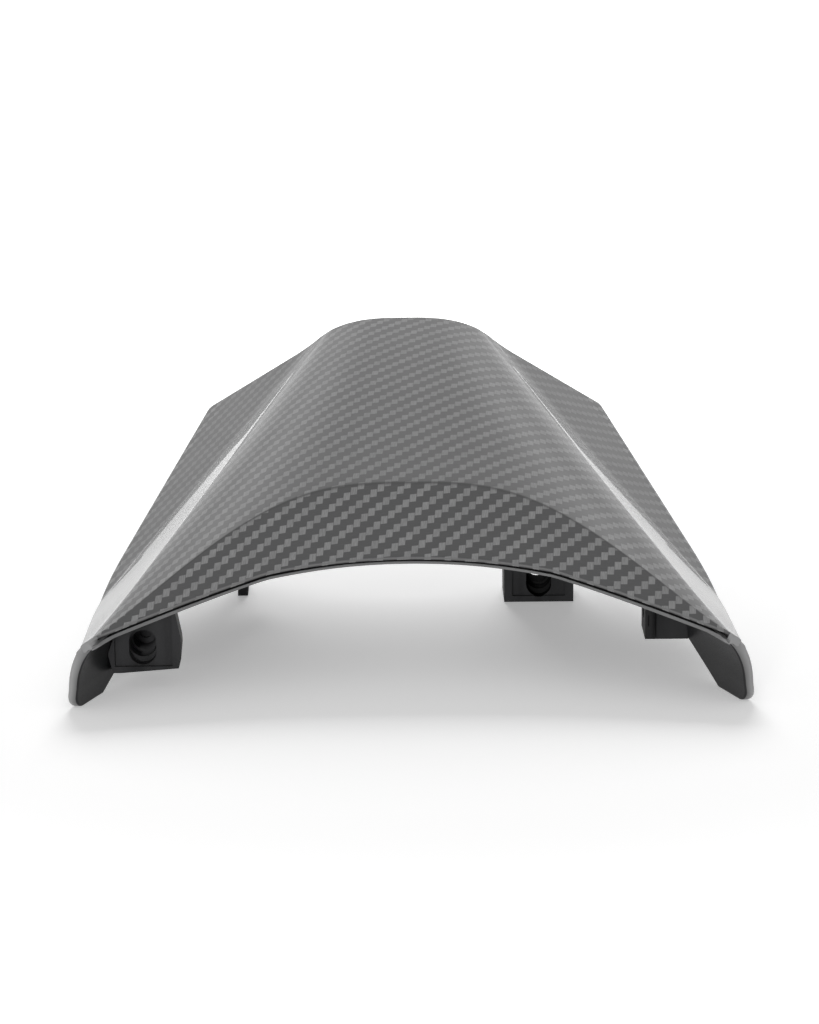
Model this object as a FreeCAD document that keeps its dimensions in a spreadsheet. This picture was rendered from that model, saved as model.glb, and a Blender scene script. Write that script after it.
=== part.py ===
import FreeCAD, Part
import math
import os

import Sketcher

# Headlight cover: a thin arched shell over a lamp, with four mounting legs
# seated on its underside. +X is the rider's right in the view from the front,
# +Y runs from the arched front edge to the narrow tail, +Z is up.
# While it is built, Y counts from the front edge; every finished piece is then
# moved back by half the depth, so the origin is under the middle of the part.

doc = FreeCAD.newDocument("headlight_cover")
sheet = doc.addObject("Spreadsheet::Sheet", "Sizes")

SIZES = [
    # Shell: depth, and the ridge line seen from the side
    ("depth", 226.0),
    ("crest_height", 95.3),
    ("crest_tail_slope", 7.0),
    ("crest_sweep_radius", 1020.0),
    # Crease between deck and shoulder, a straight line from corner to tail
    ("corner_half_width", 115.3),
    ("corner_height", 24.5),
    ("tail_half_width", 31.5),
    ("tail_crease_height", 89.0),
    ("shoulder_slope", 45.0),
    # Flat wings outside the shoulders
    ("wing_slope", 31.3),
    ("wing_pitch", 6.9),
    ("wing_tip_half_width", 81.0),
    ("wing_tip_height", 57.9),
    ("wing_tip_radius", 4.0),
    ("rim_waist_half_width", 114.2),
    ("rim_waist_station", 82.4),
    ("rim_front_half_width", 116.9),
    ("wall", 3.0),
    # Flat bevel across the front and the arched edge cut in it
    ("band_slope", 29.5),
    ("arch_rise", 41.0),
    ("arch_radius", 188.0),
    ("arch_half_width", 52.0),
    # Skirts that stand on the floor under the two front corners
    ("skirt_half_width", 122.0),
    ("skirt_bulge_radius", 30.0),
    ("skirt_bulge_height", 2.0),
    ("skirt_wall", 3.2),
    ("skirt_toe_in", 23.5),
    ("skirt_rear_radius", 60.0),
    ("skirt_rear_bulge", 12.0),
    ("skirt_rear_reach", 46.0),
    ("skirt_nose_radius", 5.0),
    ("skirt_foot_length", 20.0),
    ("skirt_heel_slope", 25.0),
    ("skirt_length", 62.0),
    ("skirt_reach", 28.0),
    # Legs: bond line to the shell and the sizes that they share
    ("bond_gap", 0.2),
    ("leg_plate", 3.2),
    ("leg_rib", 3.2),
    ("lip_height", 2.4),
    ("lip_proud", 1.2),
    ("boss_width", 15.6),
    ("slot_width", 9.8),
    ("slot_height", 13.6),
    ("slot_depth", 4.0),
    ("well_depth", 10.0),
    ("boss_depth", 20.5),
    ("sleeve_bore", 8.0),
    ("screw_bore", 4.2),
    ("screw_floor", 2.6),
    ("lug_wall", 4.0),
    ("lug_bore", 6.6),
    # Front left leg
    ("front_left_station", 24.0),
    ("front_left_inset", 12.5),
    ("front_left_width", 27.1),
    ("front_left_foot", 6.4),
    ("front_left_well_inset", 25.8),
    ("front_left_well_height", 16.0),
    # Rear right leg
    ("rear_right_station", 135.5),
    ("rear_right_inner", 37.5),
    ("rear_right_outer", 64.5),
    ("rear_right_well_height", 8.8),
    # Front right leg
    ("front_right_station", 44.0),
    ("front_right_lug_inset", 36.2),
    ("front_right_web_inset", 18.0),
    ("front_right_foot", 11.0),
    ("front_right_lug_length", 18.0),
    # Rear left leg
    ("rear_left_station", 146.5),
    ("rear_left_lug_side", 62.7),
    ("rear_left_inner", 46.0),
    ("rear_left_lug_length", 18.0),
    ("rear_left_web_foot", 20.0),
    ("lug_eye_height", 9.0),
]
for row, (alias, value) in enumerate(SIZES, start=1):
    sheet.set("A%d" % row, alias)
    sheet.set("B%d" % row, str(value))
    sheet.setAlias("B%d" % row, alias)
doc.recompute()

# Room that construction solids run past the finished edges
MARGIN = 12.0
BASE = 40.0
TALL = 140.0
STATIONS = 6
SIZE = {alias: value for alias, value in SIZES}


def cell(text):
    """Put the sheet's name in front of every alias written as @alias."""
    return text.replace("@", "Sizes.")


def bind(obj, **expressions):
    """Bind properties to expressions; a double underscore stands for a dot."""
    for path, text in expressions.items():
        obj.setExpression(path.replace("__", "."), cell(text))


def plane(body, role):
    return [o for o in body.Origin.OriginFeatures if o.Role == role][0]


def new_sketch(body, role, name):
    sketch = body.newObject("Sketcher::SketchObject", name)
    sketch.AttachmentSupport = [(plane(body, role), "")]
    sketch.MapMode = "FlatFace"
    return sketch


def value(text):
    """Present value of an expression, to draw a sketch near its solved shape."""
    result = sheet.evalExpression(cell(text))
    return float(getattr(result, "Value", result))


def size(sketch, kind, first, second, text):
    """Add a distance from one (geometry, point) pair to another, bound to text."""
    constraint = Sketcher.Constraint(kind, *first, *second, value(text))
    index = sketch.addConstraint(constraint)
    sketch.setExpression("Constraints[%d]" % index, cell(text))


def span(sketch, arc, text):
    """Set the radius of an arc, bound to text."""
    index = sketch.addConstraint(Sketcher.Constraint("Radius", arc, value(text)))
    sketch.setExpression("Constraints[%d]" % index, cell(text))


def place(sketch, point, across, up):
    """Fix a point of the sketch by its distances right of and above the origin."""
    size(sketch, "DistanceX", (-1, 1), point, across)
    size(sketch, "DistanceY", (-1, 1), point, up)


def chain(sketch, points):
    """Closed loop of straight lines; returns the index of each line."""
    lines = []
    for i, start in enumerate(points):
        end = points[(i + 1) % len(points)]
        lines.append(sketch.addGeometry(Part.LineSegment(
            FreeCAD.Vector(*start, 0), FreeCAD.Vector(*end, 0))))
    for i, line in enumerate(lines):
        follower = lines[(i + 1) % len(lines)]
        sketch.addConstraint(Sketcher.Constraint("Coincident", line, 2, follower, 1))
    return lines


# The hull: everything under the outer skin, one half, lowered by an offset


def crest(station):
    return ("(@crest_height - tan(@crest_tail_slope) * (@depth - {s})"
            " - (@depth - {s})^2 / (2 * @crest_sweep_radius))").format(s=station)


def crease_side(station):
    return ("(@corner_half_width + (@tail_half_width - @corner_half_width)"
            " * {s} / @depth)").format(s=station)


def crease_height(station):
    return ("(@corner_height + (@tail_crease_height - @corner_height)"
            " * {s} / @depth)").format(s=station)


def wing_height(side, station, offset):
    return ("(@wing_tip_height - tan(@wing_slope) * ({x} - @wing_tip_half_width)"
            " + tan(@wing_pitch) * ({s} - @depth)"
            " - {o} * sqrt(1 + tan(@wing_slope)^2 + tan(@wing_pitch)^2))"
            ).format(x=side, s=station, o=offset)


def spine_section(body, name, station, offset):
    """Half cross-section: a cubic deck, the shoulder line, and a base below ground."""
    lean = ("((@shoulder_slope * 1 deg + atan(3 * (%s - %s) / %s)) / 2)"
            % (crest(station), crease_height(station), crease_side(station)))
    top = "(%s - %s)" % (crest(station), offset)
    side = "(%s - %s * sin(%s))" % (crease_side(station), offset, lean)
    edge = "(%s - %s * cos(%s))" % (crease_height(station), offset, lean)
    sketch = new_sketch(body, "XZ_Plane", name)
    bind(sketch, AttachmentOffset__Base__z="-(%s)" % station)
    deck = Part.BSplineCurve()
    high, wide, low = value(top), value(side), value(edge)
    poles = [FreeCAD.Vector(wide * k / 3, high if k < 3 else low, 0) for k in range(4)]
    deck.buildFromPolesMultsKnots(poles, [4, 4], [0, 1], False, 3)
    curve = sketch.addGeometry(deck)
    sketch.exposeInternalGeometry(curve)
    first_pole = curve + 1
    sketch.addConstraint(Sketcher.Constraint("PointOnObject", first_pole, 3, -2))
    size(sketch, "DistanceY", (-1, 1), (first_pole, 3), top)
    for step in (1, 2):
        place(sketch, (first_pole + step, 3), "%s * %d / 3" % (side, step), top)
    place(sketch, (first_pole + 3, 3), side, edge)
    reach = "%s + (%s + %s) / tan(@shoulder_slope)" % (side, edge, BASE)
    corners = [(wide, low), (value(reach), -BASE), (0, -BASE), (0, high)]
    lines = [sketch.addGeometry(Part.LineSegment(
        FreeCAD.Vector(*corners[i], 0), FreeCAD.Vector(*corners[i + 1], 0))) for i in range(3)]
    joins = [(curve, 2, lines[0], 1), (lines[0], 2, lines[1], 1),
             (lines[1], 2, lines[2], 1), (lines[2], 2, curve, 1)]
    for join in joins:
        sketch.addConstraint(Sketcher.Constraint("Coincident", *join))
    sketch.addConstraint(Sketcher.Constraint("Horizontal", lines[1]))
    sketch.addConstraint(Sketcher.Constraint("Vertical", lines[2]))
    size(sketch, "DistanceY", (lines[1], 1), (-1, 1), str(BASE))
    size(sketch, "DistanceX", (-1, 1), (lines[0], 2), reach)
    return sketch


def wing_section(body, name, station, offset):
    """Half cross-section of the wing: a slanted top from the crease outward."""
    inner = crease_side(station)
    outer = "(@skirt_half_width + %s)" % BASE
    sketch = new_sketch(body, "XZ_Plane", name)
    bind(sketch, AttachmentOffset__Base__z="-(%s)" % station)
    low = -2 * BASE
    lines = chain(sketch, [
        (value(inner), low), (value(outer), low),
        (value(outer), value(wing_height(outer, station, offset))),
        (value(inner), value(wing_height(inner, station, offset)))])
    sketch.addConstraint(Sketcher.Constraint("Horizontal", lines[0]))
    sketch.addConstraint(Sketcher.Constraint("Vertical", lines[1]))
    sketch.addConstraint(Sketcher.Constraint("Vertical", lines[3]))
    size(sketch, "DistanceY", (lines[0], 1), (-1, 1), str(2 * BASE))
    size(sketch, "DistanceX", (-1, 1), (lines[0], 1), inner)
    size(sketch, "DistanceX", (-1, 1), (lines[0], 2), outer)
    size(sketch, "DistanceY", (lines[0], 1), (lines[3], 1),
         "%s + %s" % (2 * BASE, wing_height(inner, station, offset)))
    size(sketch, "DistanceY", (lines[0], 2), (lines[2], 1),
         "%s + %s" % (2 * BASE, wing_height(outer, station, offset)))
    return sketch


def loft(body, name, sections):
    feature = body.newObject("PartDesign::AdditiveLoft", name)
    feature.Profile = sections[0]
    feature.Sections = sections[1:]
    feature.Ruled = False
    feature.Refine = False
    return feature


def half_hull(name, offset):
    """Right half of the solid under the skin, cut off by the sloping front band."""
    body = doc.addObject("PartDesign::Body", name + "_body")
    stations = ["(-%s + %s * (@depth + 2 * %s))" % (MARGIN, k / (STATIONS - 1), MARGIN)
                for k in range(STATIONS)]
    spine = [spine_section(body, "%s_spine_%d" % (name, k), s, offset)
             for k, s in enumerate(stations)]
    loft(body, name + "_spine", spine)
    wing = [wing_section(body, "%s_wing_%d" % (name, k), s, offset)
            for k, s in enumerate((stations[0], stations[-1]))]
    loft(body, name + "_wing", wing)
    under_band = doc.addObject("Part::Box", name + "_under_band")
    reach = 3 * TALL
    under_band.Placement.Rotation = FreeCAD.Rotation(FreeCAD.Vector(1, 0, 0), 1)
    bind(under_band, Length=str(reach), Width=str(2 * reach), Height=str(reach),
         Placement__Rotation__Angle="@band_slope",
         Placement__Base__y="%s * sin(@band_slope) - %s * cos(@band_slope)" % (reach, TALL),
         Placement__Base__z=("@corner_height - %s / cos(@band_slope) - %s * sin(@band_slope)"
                             " - %s * cos(@band_slope)") % (offset, TALL, reach))
    return common(name, body, under_band)


def common(name, base, tool):
    feature = doc.addObject("Part::Common", name)
    feature.Base = base
    feature.Tool = tool
    return feature


def cut(name, base, tool):
    feature = doc.addObject("Part::Cut", name)
    feature.Base = base
    feature.Tool = tool
    return feature


def fuse(name, shapes):
    feature = doc.addObject("Part::MultiFuse", name)
    feature.Shapes = shapes
    return feature


def mirrored(name, source):
    feature = doc.addObject("Part::Mirroring", name)
    feature.Source = source
    feature.Normal = FreeCAD.Vector(1, 0, 0)
    return feature


def pad(body, name, sketch, length, midplane=False):
    feature = body.newObject("PartDesign::Pad", name)
    feature.Profile = sketch
    feature.Midplane = midplane
    bind(feature, Length=length)
    return feature


# Outline of the skin seen from above, right half


def rim_outline():
    body = doc.addObject("PartDesign::Body", "rim_outline")
    sketch = new_sketch(body, "XY_Plane", "rim_profile")
    sketch.AttachmentOffset.Base.z = -BASE
    depth = value("@depth")
    front = (value("@rim_front_half_width"), 0)
    waist = (value("@rim_waist_half_width"), value("@rim_waist_station"))
    tip = (value("@wing_tip_half_width"), depth)
    # Where the tip's round meets the wing edge and the tail edge
    turn = math.atan2(tip[1] - waist[1], tip[0] - waist[0])
    radius = value("@wing_tip_radius")
    setback = radius * math.tan(turn / 2)
    before = (tip[0] - setback * math.cos(turn), tip[1] - setback * math.sin(turn))
    after = (tip[0] - setback, depth)
    # The bow leaves the front corner and ends along the wing edge
    normal = (-math.sin(turn), math.cos(turn))
    chord = (front[0] - waist[0], front[1] - waist[1])
    bow_radius = ((chord[0] ** 2 + chord[1] ** 2)
                  / (2 * (chord[0] * normal[0] + chord[1] * normal[1])))
    bow_centre = (waist[0] + bow_radius * normal[0], waist[1] + bow_radius * normal[1])
    lines = [sketch.addGeometry(Part.LineSegment(
        FreeCAD.Vector(*start, 0), FreeCAD.Vector(*end, 0)))
        for start, end in (((0, 0), front), (waist, before), (after, (0, depth)),
                           ((0, depth), (0, 0)))]
    arcs = []
    for centre, bow, start, end in (
            (bow_centre, abs(bow_radius), front, waist),
            ((after[0], depth - radius), radius, before, after)):
        circle = Part.Circle(FreeCAD.Vector(*centre, 0), FreeCAD.Vector(0, 0, 1), bow)
        angles = [math.atan2(y - centre[1], x - centre[0]) for x, y in (start, end)]
        arcs.append(sketch.addGeometry(Part.ArcOfCircle(circle, *angles)))
    sketch.addConstraint(Sketcher.Constraint("Coincident", lines[0], 1, -1, 1))
    sketch.addConstraint(Sketcher.Constraint("Coincident", lines[0], 2, arcs[0], 1))
    sketch.addConstraint(Sketcher.Constraint("Tangent", arcs[0], 2, lines[1], 1))
    sketch.addConstraint(Sketcher.Constraint("Tangent", lines[1], 2, arcs[1], 1))
    sketch.addConstraint(Sketcher.Constraint("Tangent", arcs[1], 2, lines[2], 1))
    sketch.addConstraint(Sketcher.Constraint("Coincident", lines[2], 2, lines[3], 1))
    sketch.addConstraint(Sketcher.Constraint("Coincident", lines[3], 2, -1, 1))
    sketch.addConstraint(Sketcher.Constraint("Horizontal", lines[0]))
    sketch.addConstraint(Sketcher.Constraint("Horizontal", lines[2]))
    sketch.addConstraint(Sketcher.Constraint("Vertical", lines[3]))
    size(sketch, "DistanceX", (-1, 1), (lines[0], 2), "@rim_front_half_width")
    size(sketch, "DistanceY", (-1, 1), (lines[3], 1), "@depth")
    place(sketch, (lines[1], 1), "@rim_waist_half_width", "@rim_waist_station")
    span(sketch, arcs[1], "@wing_tip_radius")
    # The wing edge aims at the sharp tip, which lies on its line beyond the round
    corner = sketch.addGeometry(Part.Point(FreeCAD.Vector(*tip, 0)), True)
    sketch.addConstraint(Sketcher.Constraint("PointOnObject", corner, 1, lines[1]))
    place(sketch, (corner, 1), "@wing_tip_half_width", "@depth")
    pad(body, "rim_pad", sketch, "%s + @crest_height + %s" % (BASE, BASE))
    return body


# Tool that opens the arched front edge, square to the band, right half


def arch_cutter():
    body = doc.addObject("PartDesign::Body", "arch_cutter")
    sketch = new_sketch(body, "XY_Plane", "arch_profile")
    sketch.AttachmentOffset = FreeCAD.Placement(
        FreeCAD.Vector(0, 0, 0), FreeCAD.Rotation(FreeCAD.Vector(1, 0, 0), 1))
    below = "(1.4 * @wall)"
    bind(sketch, AttachmentOffset__Rotation__Angle="@band_slope",
         AttachmentOffset__Base__y="%s * sin(@band_slope)" % below,
         AttachmentOffset__Base__z="@corner_height - %s * cos(@band_slope)" % below)
    drop = SIZE["arch_radius"] - (SIZE["arch_radius"] ** 2 - SIZE["arch_half_width"] ** 2) ** 0.5
    knee = (SIZE["arch_half_width"], SIZE["arch_rise"] - drop)
    apex = (0, SIZE["arch_rise"])
    corner = (SIZE["corner_half_width"], 0)
    points = [knee, corner, (corner[0], -BASE), (0, -BASE), apex]
    lines = [sketch.addGeometry(Part.LineSegment(
        FreeCAD.Vector(*points[i], 0), FreeCAD.Vector(*points[i + 1], 0))) for i in range(4)]
    centre = FreeCAD.Vector(0, SIZE["arch_rise"] - SIZE["arch_radius"], 0)
    circle = Part.Circle(centre, FreeCAD.Vector(0, 0, 1), SIZE["arch_radius"])
    start = circle.parameter(FreeCAD.Vector(*knee, 0))
    end = circle.parameter(FreeCAD.Vector(*apex, 0))
    arch = sketch.addGeometry(Part.ArcOfCircle(circle, start, end))
    for i in range(3):
        sketch.addConstraint(Sketcher.Constraint("Coincident", lines[i], 2, lines[i + 1], 1))
    sketch.addConstraint(Sketcher.Constraint("Coincident", arch, 1, lines[0], 1))
    sketch.addConstraint(Sketcher.Constraint("Coincident", arch, 2, lines[3], 2))
    sketch.addConstraint(Sketcher.Constraint("PointOnObject", arch, 3, -2))
    sketch.addConstraint(Sketcher.Constraint("PointOnObject", lines[3], 1, -2))
    sketch.addConstraint(Sketcher.Constraint("Vertical", lines[3]))
    sketch.addConstraint(Sketcher.Constraint("Vertical", lines[1]))
    sketch.addConstraint(Sketcher.Constraint("Horizontal", lines[2]))
    sketch.addConstraint(Sketcher.Constraint("PointOnObject", lines[0], 2, -1))
    size(sketch, "DistanceX", (-1, 1), (lines[0], 2), "@corner_half_width")
    size(sketch, "DistanceY", (lines[2], 1), (-1, 1), str(BASE))
    size(sketch, "DistanceY", (-1, 1), (lines[3], 2), "@arch_rise")
    size(sketch, "DistanceX", (-1, 1), (lines[0], 1), "@arch_half_width")
    span(sketch, arch, "@arch_radius")
    pad(body, "arch_pad", sketch, "%s + %s" % (below, BASE))
    return body


# Skirt: a bulged wall that runs back from the corner, toed in


def skirt_section(body, name, station, side, radius, bulge, top, inner_gap, wall):
    """Bulged strip between two arcs about one centre, from the floor to a top line."""
    sketch = new_sketch(body, "XZ_Plane", name)
    bind(sketch, AttachmentOffset__Base__z="-(%s)" % station)
    middle = (value(side) - value(radius), value(bulge))
    radii = ["%s - @skirt_wall - %s" % (radius, inner_gap),
             "%s - @skirt_wall + %s" % (radius, wall)]
    arcs = []
    for text in radii:
        bow = value(text)
        circle = Part.Circle(FreeCAD.Vector(*middle, 0), FreeCAD.Vector(0, 0, 1), bow)
        ends = [(middle[0] + (bow ** 2 - (z - middle[1]) ** 2) ** 0.5, z)
                for z in (0, value(top))]
        angles = [math.atan2(z - middle[1], x - middle[0]) for x, z in ends]
        arcs.append((sketch.addGeometry(Part.ArcOfCircle(circle, *angles)), ends))
    (inner, inner_ends), (outer, outer_ends) = arcs
    lines = [sketch.addGeometry(Part.LineSegment(
        FreeCAD.Vector(*inner_ends[i], 0), FreeCAD.Vector(*outer_ends[i], 0))) for i in (0, 1)]
    for line, end in zip(lines, (1, 2)):
        sketch.addConstraint(Sketcher.Constraint("Coincident", inner, end, line, 1))
        sketch.addConstraint(Sketcher.Constraint("Coincident", outer, end, line, 2))
        sketch.addConstraint(Sketcher.Constraint("Horizontal", line))
    sketch.addConstraint(Sketcher.Constraint("Coincident", inner, 3, outer, 3))
    sketch.addConstraint(Sketcher.Constraint("PointOnObject", lines[0], 1, -1))
    size(sketch, "DistanceY", (-1, 1), (lines[1], 1), top)
    place(sketch, (outer, 3), "%s - %s" % (side, radius), bulge)
    for arc, text in zip((inner, outer), radii):
        span(sketch, arc, text)
    return sketch


def skirt_bar(name, inner_gap, wall):
    """The bulged wall before its outline is cut; a gap grows its inner face inward."""
    body = doc.addObject("PartDesign::Body", name)
    ends = [("0", "@skirt_half_width", "@skirt_bulge_radius", "@skirt_bulge_height",
             "@skirt_reach"),
            ("@skirt_length", "(@skirt_half_width - @skirt_toe_in)", "@skirt_rear_radius",
             "@skirt_rear_bulge", "@skirt_rear_reach")]
    sections = [skirt_section(body, "%s_%d" % (name, k), *end, inner_gap, wall)
                for k, end in enumerate(ends)]
    loft(body, name + "_loft", sections)
    return body


def skirt_outline():
    """Side outline of the skirt: upright nose, flat foot and rising heel."""
    body = doc.addObject("PartDesign::Body", "skirt_outline")
    sketch = new_sketch(body, "YZ_Plane", "skirt_side")
    nose = SIZE["skirt_nose_radius"]
    foot = SIZE["skirt_foot_length"]
    end = SIZE["skirt_length"]
    top = SIZE["skirt_reach"]
    heel = (end - foot) * math.tan(math.radians(SIZE["skirt_heel_slope"]))
    points = [(nose, 0), (foot, 0), (end, heel), (end, 2 * top), (0, 2 * top), (0, nose)]
    lines = [sketch.addGeometry(Part.LineSegment(
        FreeCAD.Vector(*points[i], 0), FreeCAD.Vector(*points[i + 1], 0))) for i in range(5)]
    circle = Part.Circle(FreeCAD.Vector(nose, nose, 0), FreeCAD.Vector(0, 0, 1), nose)
    toe = sketch.addGeometry(Part.ArcOfCircle(circle, math.pi, 1.5 * math.pi))
    for i in range(4):
        sketch.addConstraint(Sketcher.Constraint("Coincident", lines[i], 2, lines[i + 1], 1))
    sketch.addConstraint(Sketcher.Constraint("Tangent", lines[4], 2, toe, 1))
    sketch.addConstraint(Sketcher.Constraint("Tangent", toe, 2, lines[0], 1))
    sketch.addConstraint(Sketcher.Constraint("Horizontal", lines[0]))
    sketch.addConstraint(Sketcher.Constraint("PointOnObject", lines[0], 1, -1))
    sketch.addConstraint(Sketcher.Constraint("Vertical", lines[2]))
    sketch.addConstraint(Sketcher.Constraint("Horizontal", lines[3]))
    sketch.addConstraint(Sketcher.Constraint("Vertical", lines[4]))
    sketch.addConstraint(Sketcher.Constraint("PointOnObject", lines[4], 1, -2))
    span(sketch, toe, "@skirt_nose_radius")
    size(sketch, "DistanceX", (-1, 1), (lines[0], 2), "@skirt_foot_length")
    size(sketch, "DistanceX", (-1, 1), (lines[1], 2), "@skirt_length")
    size(sketch, "DistanceY", (-1, 1), (lines[1], 2),
         "(@skirt_length - @skirt_foot_length) * tan(@skirt_heel_slope)")
    size(sketch, "DistanceY", (-1, 1), (lines[3], 1), "2 * @skirt_reach")
    pad(body, "skirt_side_pad", sketch, "4 * @skirt_half_width", midplane=True)
    return body


def box(name, x, y, z):
    """Box between two expressions on each axis."""
    feature = doc.addObject("Part::Box", name)
    bind(feature,
         Placement__Base__x=x[0], Placement__Base__y=y[0], Placement__Base__z=z[0],
         Length="(%s) - (%s)" % (x[1], x[0]),
         Width="(%s) - (%s)" % (y[1], y[0]),
         Height="(%s) - (%s)" % (z[1], z[0]))
    return feature


def rod(name, axis, x, y, z, diameter, length):
    """Cylinder that starts at a point and runs along +Y or +X."""
    feature = doc.addObject("Part::Cylinder", name)
    turn = {"+Y": ((1, 0, 0), -90), "+X": ((0, 1, 0), 90)}[axis]
    feature.Placement.Rotation = FreeCAD.Rotation(FreeCAD.Vector(*turn[0]), turn[1])
    bind(feature, Radius="(%s) / 2" % diameter, Height=length,
         Placement__Base__x=x, Placement__Base__y=y, Placement__Base__z=z)
    return feature


def finish(feature, label):
    """Name a finished piece and move it so that the origin is under the middle."""
    feature.Label = label
    bind(feature, Placement__Base__y="-@depth / 2")
    pieces.append(feature)


pieces = []

# Cover shell: skin with its skirts, both halves as one moulding
outer_half = half_hull("outer_half", "0")
inner_half = half_hull("inner_half", "@wall")
seat_half = half_hull("seat_half", "(@wall + @bond_gap)")
skin = common("skin_half", cut("skin_walls", outer_half, inner_half), rim_outline())
skirt_wall = common("skirt_under_skin", skirt_bar("skirt_bar", "0", "@skirt_wall"), outer_half)
skirt = common("skirt_half", skirt_wall, skirt_outline())
half_shell = cut("shell_half", fuse("skin_with_skirt", [skin, skirt]), arch_cutter())
shell = fuse("shell", [half_shell, mirrored("shell_left_half", half_shell)])
shell.Refine = True
finish(shell, "cover_shell")

# Room for a leg: under the skin, and inside the skirt
seat_left = mirrored("seat_left", seat_half)
skirt_room = skirt_bar("skirt_room", "@bond_gap", str(BASE))
skirt_room_left = mirrored("skirt_room_left", skirt_room)


def well_leg(name, station, sides, foot, well_side, well_height, seat, through):
    """Leg with a forward plate, two side ribs and a stepped screw well."""
    left, right = sides
    back = "%s + @boss_depth" % station
    plate_back = "%s + @leg_plate" % station
    top = "@crest_height"
    front = "%s - @lip_proud" % station
    boss_left = "%s - @boss_width / 2" % well_side
    boss_right = "%s + @boss_width / 2" % well_side
    boss_top = "%s + @slot_height / 2 + @leg_plate" % well_height
    solid = fuse(name + "_solid", [
        box(name + "_plate", (left, right), (station, plate_back), (foot, top)),
        box(name + "_left_rib", (left, "%s + @leg_rib" % left), (front, back), (foot, top)),
        box(name + "_right_rib", ("%s - @leg_rib" % right, right), (front, back), (foot, top)),
        box(name + "_boss", (boss_left, boss_right), (station, back), (foot, boss_top)),
        box(name + "_lip", (left, right), (front, back), (foot, "%s + @lip_height" % foot)),
    ])
    slot_low = "%s - (@slot_height - @slot_width) / 2" % well_height
    slot_high = "%s + (@slot_height - @slot_width) / 2" % well_height
    start = "%s - @lip_proud" % station
    slot_run = "@lip_proud + @slot_depth"
    slot_back = "%s + @slot_depth" % station
    end_floor = "0" if through else "@screw_floor"
    holes = fuse(name + "_holes", [
        rod(name + "_slot_low", "+Y", well_side, start, slot_low, "@slot_width", slot_run),
        rod(name + "_slot_high", "+Y", well_side, start, slot_high, "@slot_width", slot_run),
        box(name + "_slot_mid", ("%s - @slot_width / 2" % well_side,
                                 "%s + @slot_width / 2" % well_side),
            (start, slot_back), (slot_low, slot_high)),
        rod(name + "_well", "+Y", well_side, station, well_height, "@slot_width", "@well_depth"),
        rod(name + "_sleeve", "+Y", well_side, station, well_height, "@sleeve_bore",
            "@boss_depth - %s" % end_floor),
        rod(name + "_screw", "+Y", well_side, station, well_height, "@screw_bore",
            "@boss_depth + @leg_plate"),
    ])
    return common(name + "_seated", cut(name + "_drilled", solid, holes), seat)


def lug_leg(name, lug, station, web, foot, web_foot, length, seat):
    """Leg with a web across and a lug along it that is drilled from side to side."""
    near, far = lug
    back = "%s + %s" % (station, length)
    web_back = "%s + @leg_plate" % station
    top = "@crest_height"
    eye_y = "%s + %s / 2" % (station, length)
    eye_z = "%s + @lug_eye_height" % foot
    solid = fuse(name + "_solid", [
        box(name + "_web", web, (station, web_back), (web_foot, top)),
        box(name + "_lug", (near, far), (station, back), (foot, top)),
    ])
    eye = rod(name + "_eye", "+X", "%s - @lug_wall" % near, eye_y, eye_z, "@lug_bore",
              "3 * @lug_wall")
    return common(name + "_seated", cut(name + "_drilled", solid, eye), seat)


# The front legs keep their distance from the skirt beside them
left_outer = "(@front_left_inset - @skirt_half_width)"
front_left = well_leg(
    "front_left", "@front_left_station", (left_outer, "(%s + @front_left_width)" % left_outer),
    "@front_left_foot", "(@front_left_well_inset - @skirt_half_width)",
    "@front_left_well_height", seat_left, False)
finish(cut("front_left_leg", front_left, skirt_room_left), "front_left_bracket")

rear_right = well_leg(
    "rear_right", "@rear_right_station", ("@rear_right_inner", "@rear_right_outer"),
    "0", "(@rear_right_inner + @rear_right_outer) / 2", "@rear_right_well_height",
    seat_half, True)
finish(rear_right, "rear_right_bracket")

right_lug = "(@skirt_half_width - @front_right_lug_inset)"
front_right = lug_leg(
    "front_right", (right_lug, "%s + @lug_wall" % right_lug), "@front_right_station",
    (right_lug, "@skirt_half_width - @front_right_web_inset"),
    "@front_right_foot", "@front_right_foot", "@front_right_lug_length", seat_half)
finish(cut("front_right_leg", front_right, skirt_room), "front_right_bracket")

rear_left = lug_leg(
    "rear_left", ("-@rear_left_lug_side - @lug_wall", "-@rear_left_lug_side"),
    "@rear_left_station", ("-@rear_left_lug_side", "-@rear_left_inner"),
    "0", "@rear_left_web_foot", "@rear_left_lug_length", seat_left)
finish(rear_left, "rear_left_bracket")

doc.recompute()

faults = [o.Name for o in doc.Objects if "Invalid" in o.State or "Error" in o.State]
if faults:
    raise RuntimeError("failed to build: " + ", ".join(faults))
for piece in pieces:
    shape = piece.Shape
    if shape.isNull() or not shape.isValid() or len(shape.Solids) != 1:
        raise RuntimeError("%s: valid %s, %d solids" % (
            piece.Label, shape.isValid(), len(shape.Solids)))

os.makedirs("parts", exist_ok=True)
for piece in pieces:
    piece.Shape.exportStep(os.path.join("parts", piece.Label + ".step"))
    print(piece.Label, "volume %.0f mm3" % piece.Shape.Volume)
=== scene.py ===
"""Dresses the headlight cover: a twill carbon skin with skirts and four black legs."""

import math

import bpy
import numpy as np
from bpy.props import FloatProperty, FloatVectorProperty, PointerProperty
from mathutils import Matrix, Vector


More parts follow.
